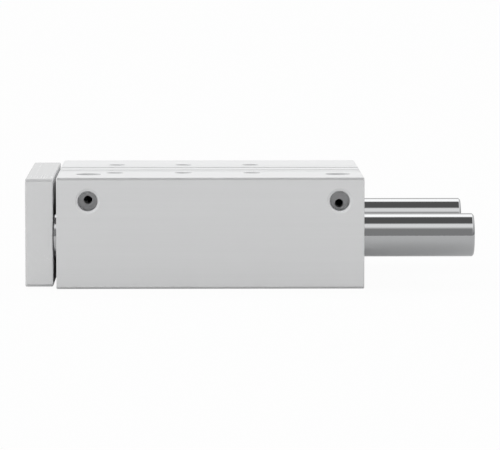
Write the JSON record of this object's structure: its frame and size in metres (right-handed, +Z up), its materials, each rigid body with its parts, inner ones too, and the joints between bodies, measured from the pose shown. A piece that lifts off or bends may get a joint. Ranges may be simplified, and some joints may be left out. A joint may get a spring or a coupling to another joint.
{
  "type": "guided pneumatic cylinder",
  "caption": "Guided pneumatic cylinder: a block housing whose piston and round guide rods push a front yoke plate, with air ports, sensor slots and mounting threads.",
  "frame": {"origin": "middle of the housing's bottom face", "axes": "+X is the way the yoke plate moves out, +Y is the side with the open air ports, +Z is up"},
  "size_m": [0.259, 0.148, 0.064],
  "materials": {
    "anodised_aluminium": "bead-blasted, clear anodised",
    "turned_aluminium": "turned",
    "chromed_steel": "ground and hard chromed",
    "zinc_steel": "zinc plated",
    "spring_steel": "phosphated",
    "bronze": "sintered",
    "black_rubber": "matt moulded",
    "bearing_plastic": "matt",
    "magnet": "bonded ferrite, matt"
  },
  "bodies": {
    "housing": {"housing": "anodised_aluminium", "bearing_cap": "turned_aluminium", "end_cap": "turned_aluminium", "rod_bush": "bronze", "rod_seal": "black_rubber", "cap_o_ring": "black_rubber", "end_cap_o_ring": "black_rubber", "front_retaining_ring": "spring_steel", "rear_retaining_ring": "spring_steel", "front_buffer": "black_rubber", "rear_buffer": "black_rubber", "left_front_guide_bush": "bronze", "left_rear_guide_bush": "bronze", "left_guide_wiper": "black_rubber", "right_front_guide_bush": "bronze", "right_rear_guide_bush": "bronze", "right_guide_wiper": "black_rubber", "front_port_plug": "zinc_steel", "rear_port_plug": "zinc_steel"},
    "carriage": {"yoke_plate": "anodised_aluminium", "piston_rod": "chromed_steel", "piston_front_half": "turned_aluminium", "piston_rear_half": "turned_aluminium", "piston_nut": "zinc_steel", "front_piston_seal": "black_rubber", "rear_piston_seal": "black_rubber", "magnet_ring": "magnet", "piston_guide_ring": "bearing_plastic", "rod_screw": "zinc_steel", "left_guide_rod": "chromed_steel", "left_guide_screw": "zinc_steel", "right_guide_rod": "chromed_steel", "right_guide_screw": "zinc_steel"}
  },
  "joints": [
    {"name": "carriage_slide", "type": "slide", "parent": "housing", "child": "carriage", "axis": [1, 0, 0], "range_m": [0, 0.1]}
  ]
}
